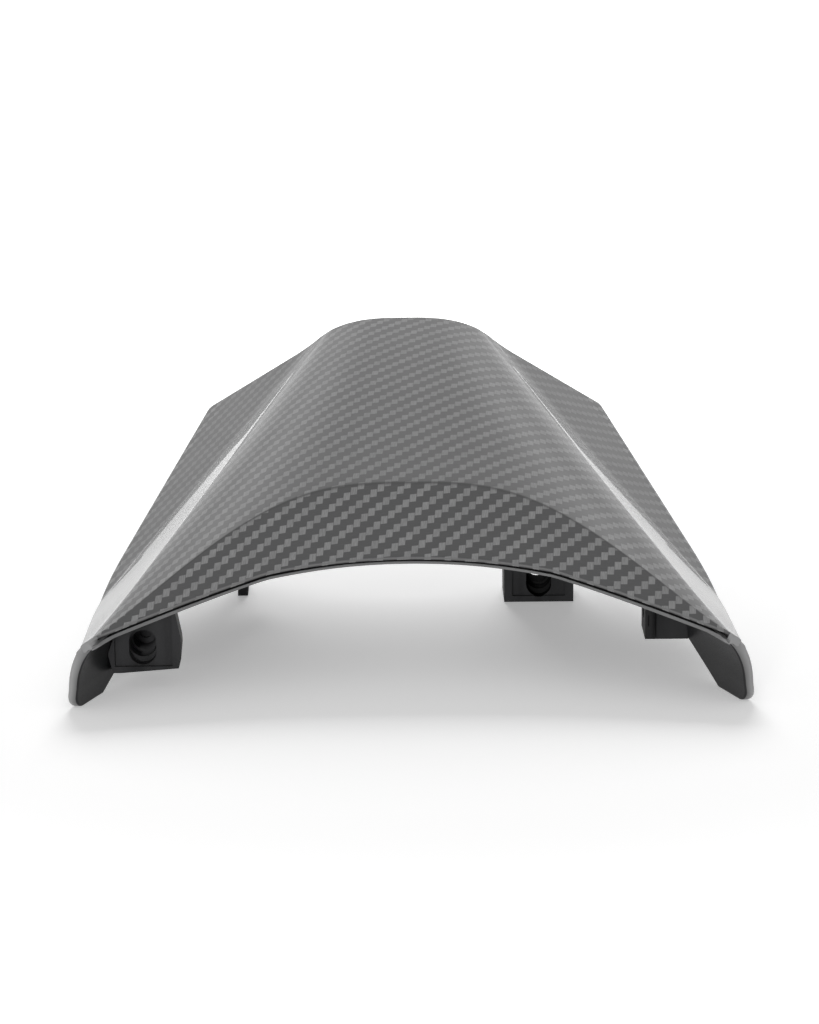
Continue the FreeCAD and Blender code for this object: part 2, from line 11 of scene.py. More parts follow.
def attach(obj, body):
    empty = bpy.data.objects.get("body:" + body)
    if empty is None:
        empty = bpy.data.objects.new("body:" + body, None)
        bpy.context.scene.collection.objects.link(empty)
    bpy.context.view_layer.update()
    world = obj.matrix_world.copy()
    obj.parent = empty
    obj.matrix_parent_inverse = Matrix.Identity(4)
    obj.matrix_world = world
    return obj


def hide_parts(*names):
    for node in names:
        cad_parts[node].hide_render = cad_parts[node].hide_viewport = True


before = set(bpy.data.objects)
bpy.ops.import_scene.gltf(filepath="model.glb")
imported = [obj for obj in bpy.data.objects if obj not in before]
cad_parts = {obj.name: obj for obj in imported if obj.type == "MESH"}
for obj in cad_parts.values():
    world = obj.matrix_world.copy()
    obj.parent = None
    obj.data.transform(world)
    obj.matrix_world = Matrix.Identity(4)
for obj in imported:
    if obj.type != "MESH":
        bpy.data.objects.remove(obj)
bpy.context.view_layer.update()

bl_info = {
    "name": "Headlight Cover",
    "version": (1, 0, 0),
    "blender": (4, 5, 0),
    "location": "3D View > Sidebar > Cover",
    "description": "Builds the skin, skirts, legs and studio of a headlight cover",
    "category": "Object",
}

MM = 0.001
# Order of the finishes on the skin and skirts
CARBON, EDGE, INSIDE, GROOVE = range(4)
# Where the weave's map lies, in metres: clear of nought, and the inside clear of the outside
MAP_START = 0.25
MAP_INSIDE = 0.45
# Edges that turn by more than this are sharp, in degrees
SKIN_SHARP = 32.0
LEG_SHARP = 30.0
# Shares of the wall down the front edge: end of the skin, roof and floor of the groove,
# nose and chin of the lip
GROOVE_SHARES = (0.30, 0.32, 0.73, 0.75, 0.78)
# Turns of the rounded edge, in degrees
EDGE_TURNS = (15, 30, 45, 60, 75, 90)
# How much softer the inner face is than the outer, and over how far its slope is taken
INNER_SOFTNESS = 6.0
INNER_REACH = 0.3
# The grey corner of the skin's edge, painted lighter where it catches the light, in millimetres
# from the front corner
CORNER_REACH = 3.0
LEGS = ("front_left_bracket", "front_right_bracket", "rear_right_bracket", "rear_left_bracket")
# Trims of the legs: a point of each cutting plane in millimetres and the way the waste lies
TRIMS = {
    "front_left_bracket": (((-82.3, -90.2, 18.6), (1.0, 0.07, 0.2)),
                           ((-82.4, -90.2, 11.6), (1.0, 0.07, -0.257)),
                           ((-104.0, -90.2, 6.4), (0.075, 0.0, -1.0)),
                           ((-106.9, -90.2, 6.0), (-1.0, 0.0, -0.256))),
}
# Wells painted darker as shade: side and height of the axis and reach from it, in millimetres
WELLS = {"rear_right_bracket": (51.0, 8.8, 6.8)}
# Edges of the legs that are longer than this, in millimetres, are rounded
LONG_EDGE = 2.5
# Post on the front right lug, in millimetres: place, radius, foot, top and ends of its slot
POST = ((87.8, -68.8), 2.1, 11.6, 33.0, (16.5, 20.5))
SLOT_WAY = Vector((-0.5, -0.866, 0.0))
# Blind end of the front left screw hole: place, radius and thickness in millimetres
SCREW_END = ((-96.2, -69.2, 16.0), 2.6, 0.8)
# Floor and lamps, in metres: size of the floor, then place and size of each lamp
FLOOR_SIZE = 12.0
BACK_LAMP = ((0.0, 1.6, 1.1), 0.9)
FRONT_LAMP = ((-0.6, -2.2, 0.26), 0.5)
LAMP_TARGET = (0.0, 0.0, 0.03)
# Camera of the photograph: pitch, yaw and roll in degrees, then metres, lens in millimetres
CAMERA_TURNS = (14.39, 0.45, -0.43)
CAMERA_TARGET = (0.00069, 0.001, 0.0418)
CAMERA_DISTANCE = 1.38386
CAMERA_LENS = 127.48
CAMERA_SENSOR = 36.0
CAMERA_CLIP = (0.05, 50.0)


# Sizes and finishes


def length(name, default, description):
    """A length that is shown in the scene's unit and stored in metres."""
    return FloatProperty(name=name, description=description, default=default * MM,
                         unit="LENGTH", precision=5)


def angle(name, default, description):
    return FloatProperty(name=name, description=description, default=math.radians(default),
                         unit="ROTATION")


def colour(name, default, description):
    return FloatVectorProperty(name=name, description=description, default=default,
                               subtype="COLOR", size=3, min=0.0, max=1.0)


class SkinSizes(bpy.types.PropertyGroup):
    depth: length("Depth", 226.0, "Front corners to tail")
    crest_height: length("Crest height", 95.3, "Ridge above the floor at the tail")
    crest_slope: angle("Crest slope", 7.0, "Fall of the ridge at the tail")
    crest_sweep: length("Crest sweep", 1020.0, "Radius of the ridge line seen from the side")
    corner_side: length("Corner side", 115.3, "Half width between the front corners")
    corner_height: length("Corner height", 24.5, "Front corners above the floor")
    tail_side: length("Tail side", 31.5, "Half width between the creases at the tail")
    tail_height: length("Tail height", 89.6, "Creases above the floor at the tail")
    shoulder_slope: angle("Shoulder slope", 45.0, "Fall of the shoulder outside the crease")
    crease_bow: length("Crease bow", 2.9, "How far the crease bows in behind the corner")
    valley_step: FloatProperty(name="Valley step", default=0.04, min=0.0, max=0.5,
                               description="Share of the shoulder's fall taken by the valley")
    wing_slope: angle("Wing slope", 31.3, "Fall of the wing to the side")
    wing_pitch: angle("Wing pitch", 6.9, "Rise of the wing to the tail")
    tip_side: length("Tip side", 80.6, "Half width between the wing tips")
    tip_height: length("Tip height", 57.9, "Wing above the floor at its far corner")
    wing_side: length("Wing side", 81.0, "Half width where that height is measured")
    tip_round: length("Tip round", 4.0, "Radius of the wing tips seen from above")
    waist_side: length("Waist side", 116.1, "Half width where the wing's straight edge starts")
    waist_station: length("Waist station", 82.4, "Distance of that place from the front")
    waist_soft: length("Waist softness", 8.0, "How far the rim is rounded off at the waist")
    rim_side: length("Rim side", 117.05, "Half width of the rim at the front")
    band_slope: angle("Band slope", 29.5, "Slope of the bevel across the front")
    arch_rise: length("Arch rise", 41.0, "Rise of the front edge, measured on the band")
    arch_radius: length("Arch radius", 188.0, "Radius of the front edge, on the band")
    arch_side: length("Arch side", 52.0, "Half width of the round part of the front edge")
    flank_bow: length("Flank bow", 1.0, "How far the straight parts of the front edge bow back")
    wall: length("Wall", 3.0, "Thickness of the skin")
    edge_round: length("Edge round", 0.9, "Radius of the skin's edges")
    groove: length("Groove depth", 1.5, "Depth of the line between skin and lip")
    lip_drop: length("Lip drop", 1.1, "How much lower the lip hangs at the corners")
    crease_soft: length("Crease softness", 0.35, "How far the crease is taken down")
    band_soft: length("Band softness", 0.16, "How far the band's upper edge is taken down")
    valley_soft: length("Valley softness", 0.4, "How far the valley beside the wing is filled")


class SkirtSizes(bpy.types.PropertyGroup):
    side: length("Side", 122.0, "Half width over the skirts at the front")
    bulge: length("Bulge radius", 30.0, "Radius of the outer face at the front")
    bulge_height: length("Bulge height", 2.0, "Height of the widest place at the front")
    reach: length("Reach", 28.0, "Height of the wall at the front")
    toe_in: length("Toe-in", 23.5, "How much nearer the middle the rear end is")
    rear_bulge: length("Rear bulge", 60.0, "Radius of the outer face at the rear end")
    rear_bulge_height: length("Rear bulge height", 12.0, "Height of the widest place there")
    rear_reach: length("Rear reach", 46.0, "Height of the wall at the rear end")
    wall: length("Wall", 3.6, "Thickness of the skirt")
    shoulder: length("Shoulder", 3.3, "How far the top stands out towards the rim at the front")
    nose: length("Nose radius", 5.0, "Round at the front of the foot")
    foot: length("Foot", 20.0, "Length on the floor")
    heel_slope: angle("Heel slope", 25.0, "Rise of the lower edge behind the foot")
    run: length("Run", 62.0, "Length of the skirt")
    edge_round: length("Edge round", 1.3, "Radius of the skirt's outer edge")
    set_back: length("Set back", 0.12, "How far the front edge lies behind the lip")


class FinishColours(bpy.types.PropertyGroup):
    tow_pitch: length("Tow pitch", 2.5, "Width of one tow of the twill")
    weft_turn: angle("Weft turn", 8.5, "Rise of the crosswise tows to the right")
    warp_lean: angle("Warp lean", 4.6, "Lean of the lengthwise tows to the right")
    warp: colour("Warp tow", (0.222, 0.222, 0.223), "Light tows of the twill")
    weft: colour("Weft tow", (0.055, 0.055, 0.056), "Dark tows of the twill")
    edge: colour("Edge", (0.190, 0.190, 0.191), "Grey edge of the skirts and of the front lip")
    # Painted highlight: pale line on the rounded front edge
    edge_highlight: colour("Edge line", (0.150, 0.150, 0.151), "Polished line along the front edge")
    # Partly painted shade: the underside's dark plastic, darkened further for the shade inside the
    # skirts
    inside: colour("Inside", (0.021, 0.021, 0.022), "Dark plastic of the underside")
    # Painted shade: near-black colour for the shadow in the groove
    groove: colour("Groove", (0.004, 0.004, 0.004), "Shaded line between skin and lip")
    leg: colour("Leg", (0.027, 0.027, 0.028), "Black plastic of the legs")
    # Painted shade: a darker black for the shadow deep in the screw wells
    well: colour("Well", (0.012, 0.012, 0.012), "Rough black inside of the screw wells")
    leg_round: length("Leg edge round", 0.5, "Radius of the legs' edges")


class StudioValues(bpy.types.PropertyGroup):
    floor: colour("Floor", (0.90, 0.90, 0.90), "Pale floor")
    floor_lift: colour("Floor lift", (0.30, 0.30, 0.30), "How much whiter the camera sees it")
    ambient: FloatProperty(name="Ambient", default=0.36, min=0.0, max=4.0,
                           description="Strength of the white surroundings")
    horizon: FloatProperty(name="Horizon", default=0.80, min=0.0, max=4.0,
                           description="Brightness that gloss mirrors near the floor")
    wall: FloatProperty(name="Wall", default=0.68, min=0.0, max=4.0,
                        description="Brightness that gloss mirrors halfway up")
    ceiling: FloatProperty(name="Ceiling", default=0.95, min=0.0, max=4.0,
                           description="Brightness that gloss mirrors overhead")
    sides: FloatProperty(name="Sides", default=1.1, min=0.0, max=4.0,
                         description="Brightness that gloss mirrors high up to either side")
    floor_gloss: FloatProperty(name="Floor in gloss", default=0.22, min=0.0, max=4.0,
                               description="How much brighter gloss mirrors the floor")
    back_lamp: FloatProperty(name="Back lamp", default=31.0, min=0.0, unit="POWER",
                             description="Power of the wide lamp above and behind the cover")
    back_spread: angle("Back spread", 180.0, "Beam of the back lamp")
    front_lamp: FloatProperty(name="Front lamp", default=0.80, min=0.0, unit="POWER",
                              description="Power of the lamp beside the camera")
    front_spread: angle("Front spread", 30.0, "Beam of the front lamp, kept off the floor")


# Shader graph helpers


class Value:
    """A shader socket that takes part in Python arithmetic."""

    def __init__(self, graph, socket):
        self.graph = graph
        self.socket = socket

    def _math(self, operation, *terms):
        return self.graph.node("ShaderNodeMath", {"operation": operation},
                               dict(enumerate(terms)))

    def __add__(self, other):
        return self._math("ADD", self, other)

    def __sub__(self, other):
        return self._math("SUBTRACT", self, other)

    def __mul__(self, other):
        return self._math("MULTIPLY", self, other)

    def __truediv__(self, other):
        return self._math("DIVIDE", self, other)

    def __radd__(self, other):
        return self._math("ADD", other, self)

    def __rsub__(self, other):
        return self._math("SUBTRACT", other, self)

    def __rmul__(self, other):
        return self._math("MULTIPLY", other, self)

    def __rtruediv__(self, other):
        return self._math("DIVIDE", other, self)

    def floor(self):
        return self._math("FLOOR", self)

    def size(self):
        return self._math("ABSOLUTE", self)

    def fract(self):
        return self._math("FRACT", self)

    def wrap(self, period):
        """Remainder that stays between nought and the period."""
        return self._math("WRAP", self, period, 0.0)

    def below(self, limit):
        return self._math("LESS_THAN", self, limit)

    def step(self, low, high, start=0.0, end=1.0):
        """Smooth change from start to end between two limits."""
        return self.graph.node(
            "ShaderNodeMapRange", {"interpolation_type": "SMOOTHSTEP"},
            {"Value": self, "From Min": low, "From Max": high, "To Min": start, "To Max": end})


class Graph:
    """The node tree of a material or of the surroundings."""

    def __init__(self, owner):
        owner.use_nodes = True
        self.owner = owner
        self.tree = owner.node_tree
        self.tree.nodes.clear()

    @classmethod
    def material(cls, name):
        return cls(bpy.data.materials.new(name))

    def node(self, kind, settings=None, inputs=None, output=0):
        """Add a node, set it up, fill its sockets and return one of its outputs."""
        node = self.tree.nodes.new(kind)
        for key, setting in (settings or {}).items():
            setattr(node, key, setting)
        for key, given in (inputs or {}).items():
            if isinstance(given, Value):
                self.tree.links.new(given.socket, node.inputs[key])
            else:
                node.inputs[key].default_value = given
        return Value(self, node.outputs[output] if node.outputs else None)

    def mix(self, factor, low, high):
        """Mix two colours."""
        return self.node("ShaderNodeMix", {"data_type": "RGBA"},
                         {0: factor, 6: low, 7: high}, output=2)

    def scaled(self, colour_given, factor):
        """A colour made lighter or darker."""
        return self.node("ShaderNodeVectorMath", {"operation": "SCALE"},
                         {0: colour_given, "Scale": factor})

    def mark(self, name):
        """A number that the mesh carries at each point."""
        return self.node("ShaderNodeAttribute", {"attribute_name": name}, output=2)

    def noise(self, vector, scale, detail=2.0):
        return self.node("ShaderNodeTexNoise", None, {
            "Vector": vector, "Scale": scale, "Detail": detail})

    def place(self):
        """The surface point in the object's own frame."""
        return self.node("ShaderNodeTexCoord", output=3)

    def close(self, inputs):
        """Finish the material with a principled shader."""
        shader = self.node("ShaderNodeBsdfPrincipled", None, inputs)
        self.node("ShaderNodeOutputMaterial", None, {"Surface": shader})
        return self.owner


def shade(colour_given, factor=1.0):
    """A colour with its alpha, made lighter or darker."""
    return (*(factor * part for part in colour_given), 1.0)


def grey(level):
    return (level, level, level, 1.0)


def carbon_finish(finish):
    """Printed two-by-two twill under a clear gloss coat."""
    graph = Graph.material("twill_carbon")
    uv = graph.node("ShaderNodeUVMap", {"uv_map": "weave"})
    east = graph.node("ShaderNodeSeparateXYZ", None, {0: uv}, output=0)
    north = graph.node("ShaderNodeSeparateXYZ", None, {0: uv}, output=1)
    # The tows lie a little askew, so the two sets don't cross at right angles
    skew = finish.tow_pitch * math.cos(finish.weft_turn + finish.warp_lean)
    across = (east * math.cos(finish.warp_lean) - north * math.sin(finish.warp_lean)) / skew
    along = (north * math.cos(finish.weft_turn) - east * math.sin(finish.weft_turn)) / skew
    column, row = across.floor(), along.floor()
    in_column, in_row = across.fract(), along.fract()
    # Each warp tow passes over two wefts, and its neighbour starts one weft higher
    phase = (row - column).wrap(4.0)
    over = phase.below(1.5)
    run = (phase + in_row) / 2.0
    sides = in_column.step(-0.04, 0.08) * in_column.step(0.92, 1.04, 1.0, 0.0)
    ends = run.step(0.06, 0.14) * run.step(0.86, 0.94, 1.0, 0.0)
    float_mask = over * sides * ends
    # Fibres run along each tow
    fine, coarse = 9.0, 0.7
    warp_lie = graph.node("ShaderNodeCombineXYZ", None, {0: across * fine, 1: along * coarse})
    weft_lie = graph.node("ShaderNodeCombineXYZ", None, {0: across * coarse, 1: along * fine})
    warp_fibre = graph.noise(warp_lie, 1.0, 1.0).step(0.25, 0.75, 0.80, 1.16)
    weft_fibre = graph.noise(weft_lie, 1.0, 1.0).step(0.25, 0.75, 0.90, 1.08)
    tow_tone = graph.node("ShaderNodeTexWhiteNoise", {"noise_dimensions": "2D"}, {
        "Vector": graph.node("ShaderNodeCombineXYZ", None, {
            0: column, 1: ((row - column) / 4.0).floor()})}).step(0.0, 1.0, 0.92, 1.06)
    light = graph.scaled(tuple(finish.warp), warp_fibre * tow_tone)
    dark = graph.scaled(tuple(finish.weft), weft_fibre)
    # The weave shows full strength on the band and is dulled on the flatter top and shoulders:
    # painted shade and reflection for how the light falls there
    level = graph.mark("flat_top")
    weave = graph.mix(float_mask * (1.0 - level * 0.38) + level * 0.05, dark, light)
    # Painted shade: a thin dark line follows the upper edge of the band, where its rounded edge
    # faces a darker part of the room
    weave = graph.mix(graph.mark("band_seam") * 0.9, weave, shade(finish.weft, 0.25))
    # Painted highlight: a pale line on the rounded front edge stands for the light that it catches
    weave = graph.mix(graph.mark("front_edge"), weave, shade(finish.edge_highlight))
    # The ground under the coat is uneven, and the coat is thinner on the shoulders and wings
    cloud = graph.noise(graph.place(), 60.0, 3.0)
    return graph.close({
        "Base Color": weave, "Roughness": cloud.step(0.3, 0.7, 0.34, 0.42),
        "Specular IOR Level": 0.05, "Coat Weight": 1.0 - graph.mark("thin_coat") * 0.25,
        "Coat Roughness": 0.025, "Coat IOR": 1.5})


def plastic_finish(name, base, gloss, coat=0.0, painted_lift=0.0):
    """Moulded plastic with a fine grain and slow changes of tone, with painted light: lighter
    outside, darker inside.
    """
    graph = Graph.material(name)
    place = graph.place()
    grain = graph.noise(place, 2600.0, 2.0)
    cloud = graph.noise(place, 45.0, 3.0)
    tone = graph.mix(cloud.step(0.3, 0.7), shade(base, 0.88), shade(base, 1.08))
    if painted_lift:
        # Painted light: lighter where the mark is high, darker where it is low
        tone = graph.scaled(tone, graph.mark("outer_edge") * (2.0 * painted_lift) + (1.0 - painted_lift))
    bump = graph.node("ShaderNodeBump", None, {
        "Strength": 0.10, "Distance": 0.0002, "Height": grain})
    return graph.close({
        "Base Color": tone, "Roughness": grain.step(0.3, 0.7, gloss, gloss + 0.12),
        "Specular IOR Level": 0.3, "Normal": bump,
        "Coat Weight": coat, "Coat Roughness": 0.06, "Coat IOR": 1.5})


def leg_finish(name, black, gloss):
    """Black moulded plastic: satin, with a fine grain and faint flow marks."""
    graph = Graph.material(name)
    place = graph.place()
    grain = graph.noise(place, 1900.0, 2.0)
    flow = graph.noise(graph.node("ShaderNodeMapping", None, {
        "Vector": place, "Scale": (90.0, 90.0, 14.0)}), 1.0, 3.0)
    tone = graph.mix(flow.step(0.3, 0.7), shade(black, 0.7), shade(black, 1.5))
    bump = graph.node("ShaderNodeBump", None, {
        "Strength": 0.18, "Distance": 0.0002, "Height": grain})
    return graph.close({
        "Base Color": tone, "Roughness": flow.step(0.3, 0.7, 0.42, 0.58),
        "Specular IOR Level": gloss, "Normal": bump})


# The skin's surface, in millimetres, with Y counted from the front corners


def ramp(value, start, end):
    """Straight change from nought to one between two limits."""
    return np.clip((value - start) / (end - start), 0.0, 1.0)


class Surface:
    """Height of the skin over the floor, and the lines that its parts meet in."""

    def __init__(self, sizes):
        for key in SkinSizes.__annotations__:
            size = getattr(sizes, key)
            is_length = not key.endswith(("_slope", "_pitch", "_step"))
            setattr(self, key, size / MM if is_length else size)
        self.bend = math.tan(self.wing_slope)
        self.lift = math.tan(self.wing_pitch)
        self.bevel = math.tan(self.band_slope)

    @staticmethod
    def _low(a, b, soft):
        """The lower of two, with the corner between them rounded off."""
        near = np.maximum(soft - np.abs(a - b), 0.0)
        return np.minimum(a, b) - near * near / (4.0 * soft)

    def crest(self, y):
        """Height of the ridge along the middle."""
        back = self.depth - y
        return (self.crest_height - math.tan(self.crest_slope) * back
                - back * back / (2.0 * self.crest_sweep))

    def crease_line(self, y):
        """Half width of a straight line from the front corner to the crease's end."""
        return self.corner_side + (self.tail_side - self.corner_side) * y / self.depth

    def crease_side(self, y):
        """Half width of the crease, which bows in a little behind the corner."""
        start = 1.0 - np.exp(-np.maximum(y, 0.0) / 6.0)
        return self.crease_line(y) - self.crease_bow * (1.0 - y / self.depth) * start

    def crease_height(self, y):
        return self.corner_height + (self.tail_height - self.corner_height) * y / self.depth

    def deck(self, x, y):
        """The domed top, carried on a little beyond the crease and then bent up clear."""
        side = self.crease_side(y)
        top = self.crest(y)
        drop = top - self.crease_height(y)
        past = np.maximum(np.abs(x) - side, 0.0)
        across = np.minimum(np.abs(x) / side, 1.0)
        return top - drop * across ** 3 - 3.0 * drop / side * past + 0.05 * past ** 2

    def band(self, y):
        return self.corner_height + self.bevel * y

    def shoulder(self, side, y):
        """The facet from the crease to the wing or to the rim, whichever it meets first."""
        foot = np.minimum(self.valley(y), self.rim(y))
        drop = math.tan(self.shoulder_slope) * np.maximum(foot - self.crease_line(y), 1.0)
        share = (side - self.crease_side(y)) / np.maximum(foot - self.crease_side(y), 1.0)
        # Towards the tail the facet is flatter and ends in a small step
        step = ramp(share, 0.85, 1.0) - share
        step *= self.valley_step * ramp(y, 90.0, 150.0)
        return self.crease_height(y) - drop * np.where(share < 1.0, share + step, share)

    def height(self, x, y, softer=1.0):
        """Height of the outer face, with its corners rounded off more where softer."""
        side = np.abs(x)
        shoulder = self.shoulder(side, y)
        wing = (self.tip_height - self.bend * (side - self.wing_side)
                + self.lift * (y - self.depth))
        # Creases and valleys grow softer towards the tail
        late = ramp(y, 0.45 * self.depth, self.depth) ** 2
        flank = -self._low(-shoulder, -wing, self.valley_soft * (1.0 + 7.0 * late) * softer)
        top = self._low(self.deck(x, y), flank, self.crease_soft * (1.0 + 3.0 * late) * softer)
        return self._low(top, self.band(y), self.band_soft * softer)

    def normal(self, x, y, softer=1.0, reach=0.02):
        slope_x = (self.height(x + reach, y, softer) - self.height(x - reach, y, softer))
        slope_y = (self.height(x, y + reach, softer) - self.height(x, y - reach, softer))
        up = np.stack([-slope_x, -slope_y, np.full_like(slope_x, 2 * reach)], -1)
        return up / np.linalg.norm(up, axis=-1, keepdims=True)

    def band_top(self, across):
        """Distance from the front where the band meets the deck, at a share of the crease."""
        low = np.zeros_like(across)
        high = np.full_like(across, 0.6 * self.depth)
        for _ in range(60):
            mid = (low + high) / 2
            under = self.band(mid) < self.deck(across * self.crease_side(mid), mid)
            low, high = np.where(under, mid, low), np.where(under, high, mid)
        return (low + high) / 2

    def front_edge(self, x):
        """Distance of the arched front edge from the corners, seen from above."""
        side = np.abs(x)
        centre = self.arch_rise - self.arch_radius
        bow = centre + np.sqrt(self.arch_radius ** 2 - np.minimum(side, self.arch_side) ** 2)
        knee = centre + math.sqrt(self.arch_radius ** 2 - self.arch_side ** 2)
        flank = knee * (self.corner_side - side) / (self.corner_side - self.arch_side)
        flank += self.flank_bow * 4.0 * flank * (knee - flank) / knee ** 2
        on_band = np.where(side < self.arch_side, bow, np.maximum(flank, 0.0))
        return on_band * math.cos(self.band_slope)

    def valley(self, y):
        """Half width where the shoulder meets the wing."""
        fall = math.tan(self.shoulder_slope)
        shoulder = self.crease_height(y) + fall * self.crease_line(y)
        wing = self.tip_height + self.bend * self.wing_side + self.lift * (y - self.depth)
        return (shoulder - wing) / (fall - self.bend)

    def rim(self, y):
        """Half width of the skin at a distance from the front."""
        taper = (self.tip_side - self.waist_side) / (self.depth - self.waist_station)
        line = self.waist_side + taper * (y - self.waist_station)
        side = self._low(np.full_like(line, self.rim_side), line, self.waist_soft)
        run = 1.0 / math.hypot(1.0, taper)
        round_y = self.depth - self.tip_round
        round_x = self.tip_side - taper * self.tip_round - self.tip_round / run
        curve = round_x + np.sqrt(np.maximum(self.tip_round ** 2 - (y - round_y) ** 2, 0.0))
        return np.where(y > round_y - self.tip_round * taper * run, curve, side)


def spread(near, far, count):
    """Places from nought to one: given ones near both ends and even ones between."""
    middle = np.linspace(near[-1], 1.0 - far[-1], count + 2)[1:-1]
    return np.concatenate([near, middle, 1.0 - np.array(far[::-1])])


def skin_grid(surface):
    """Rows from the front edge to the tail and columns from rim to rim, in millimetres."""
    inset = surface.edge_round
    shares = spread([0.0, 0.02], [0.0, 0.004, 0.010, 0.020, 0.036, 0.06], 34)
    band_rows = spread([0.0, 0.03], [0.0, 0.015, 0.04, 0.08], 14)
    deck_mm = [0.0, 0.5, 1.1, 2.0, 3.6]
    tail_mm = [0.0, 0.35, 0.8, 1.5, 2.6, 4.2]
    facet_shares = spread([0.0, 0.02, 0.05, 0.10], [0.0, 0.02, 0.06], 10)
    wing_shares = spread([0.0, 0.015, 0.045, 0.10], [0.0, 0.02], 16)
    even = np.linspace(0.0, 1.0, 100)[1:-1]
    last = surface.depth - inset

    def deck_rows(start):
        low, high = start + deck_mm[-1], last - tail_mm[-1]
        return np.concatenate([start + np.array(deck_mm), low + (high - low) * even,
                               last - np.array(tail_mm[::-1])])

    tops = surface.band_top(shares)
    columns = []
    for share, top in zip(shares, tops):
        top = max(top, 0.0)
        front_x = surface.corner_side * share
        front_y = min(surface.front_edge(np.array(front_x)) + inset * min(1.0, 30 * (1 - share)),
                      top)
        top_x = share * surface.crease_side(top)
        band_x = front_x + (top_x - front_x) * band_rows
        band_y = front_y + (top - front_y) * band_rows
        deck_y = deck_rows(top)[1:]
        columns.append(np.stack([np.concatenate([band_x, share * surface.crease_side(deck_y)]),
                                 np.concatenate([band_y, deck_y])], -1))
    crease_y = columns[-1][:, 1]
    crease_x = columns[-1][:, 0]
    rim_x = surface.rim(crease_y) - inset
    turn_x = np.clip(surface.valley(crease_y), crease_x + 0.6, None)
    turn_x = np.minimum(turn_x, rim_x - 0.35 * np.minimum(rim_x - crease_x, 4.0))
    for share in facet_shares[1:]:
        columns.append(np.stack([crease_x + (turn_x - crease_x) * share, crease_y], -1))
    for share in wing_shares[1:]:
        columns.append(np.stack([turn_x + (rim_x - turn_x) * share, crease_y], -1))
    right = np.stack(columns, 1)
    left = right[:, :0:-1] * np.array([-1.0, 1.0])
    return np.concatenate([left, right], 1)


def arc_lengths(surface, x, y, samples=60):
    """Distances along the surface, across from the middle and back from mid-depth."""
    step = np.linspace(0.0, 1.0, samples)
    reach = 0.02
    run_x = x[..., None] * step
    deep = np.broadcast_to(y[..., None], run_x.shape)
    rise = surface.height(run_x + reach, deep) - surface.height(run_x - reach, deep)
    slope = rise / (2 * reach)
    across = np.trapz(np.sqrt(1.0 + slope ** 2), step, axis=-1) * x
    start = surface.depth / 2
    run_y = start + (y[..., None] - start) * step
    wide = np.broadcast_to(x[..., None], run_y.shape)
    rise = surface.height(wide, run_y + reach) - surface.height(wide, run_y - reach)
    slope = rise / (2 * reach)
    along = np.trapz(np.sqrt(1.0 + slope ** 2), step, axis=-1) * (y - start)
    return across, along


def build_mesh(name, points, faces, slots, uv, finishes):
    """A mesh object from millimetre points whose Y counts from the front corners."""
    depth = bpy.context.scene.cover_skin.depth
    mesh = bpy.data.meshes.new(name)
    placed = np.asarray(points) * MM
    placed[:, 1] = np.clip(placed[:, 1], 0.0, depth) - depth / 2
    mesh.from_pydata(placed.tolist(), [], [list(map(int, f)) for f in faces])
    mesh.polygons.foreach_set("material_index", np.asarray(slots, np.int32))
    for finish in finishes:
        mesh.materials.append(finish)
    layer = mesh.uv_layers.new(name="weave")
    loops = np.zeros(len(mesh.loops), np.int32)
    mesh.loops.foreach_get("vertex_index", loops)
    counts = np.array([len(f) for f in faces])
    inner = np.repeat(np.asarray(slots), counts) == INSIDE
    flat = np.asarray(uv)[loops] * MM + MAP_START
    flat[inner, 0] += MAP_INSIDE
    layer.data.foreach_set("uv", flat.ravel())
    thing = bpy.data.objects.new(name, mesh)
    bpy.context.scene.collection.objects.link(thing)
    return thing


def mark_points(thing, name, numbers):
    """Give every point of a mesh a named number, for the materials."""
    layer = thing.data.attributes.new(name, "FLOAT", "POINT")
    layer.data.foreach_set("value", numbers)


def take_up(thing):
    """Make one object the selected and active one."""
    bpy.ops.object.select_all(action="DESELECT")
    thing.select_set(True)
    bpy.context.view_layer.objects.active = thing


def weld(thing, gap=2e-6):
    """Merge points that lie together and turn faces outwards."""
    take_up(thing)
    bpy.ops.object.mode_set(mode="EDIT")
    bpy.ops.mesh.select_all(action="SELECT")
    bpy.ops.mesh.remove_doubles(threshold=gap)
    bpy.ops.mesh.dissolve_degenerate(threshold=gap)
    bpy.ops.mesh.select_all(action="SELECT")
    bpy.ops.mesh.normals_make_consistent(inside=False)
    bpy.ops.object.mode_set(mode="OBJECT")


